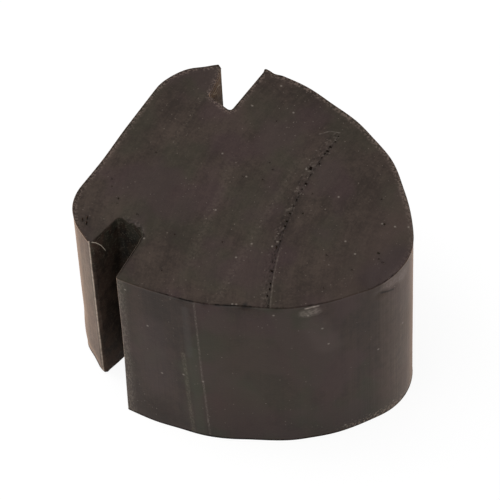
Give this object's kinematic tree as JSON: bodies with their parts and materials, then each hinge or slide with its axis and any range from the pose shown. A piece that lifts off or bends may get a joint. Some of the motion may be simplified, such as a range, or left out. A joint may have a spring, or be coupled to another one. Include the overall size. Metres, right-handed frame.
{
  "type": "brake pedal stop",
  "caption": "Solid rubber pedal stop block with a rounded head, a neck between side slots that grip a bracket plate, and a smaller holding flange.",
  "frame": {"origin": "centre of the box around the block, on the lower cut face that it stands on", "axes": "+X from the flange to the nose of the head, +Y across the head's width, +Z along the extrusion, up"},
  "size_m": [0.0326, 0.03, 0.022],
  "materials": {
    "black_rubber": "satin, extruded skin on the sides and knife-cut faces at the two ends"
  },
  "bodies": {
    "root": {"stop_block": "black_rubber"}
  },
  "joints": []
}
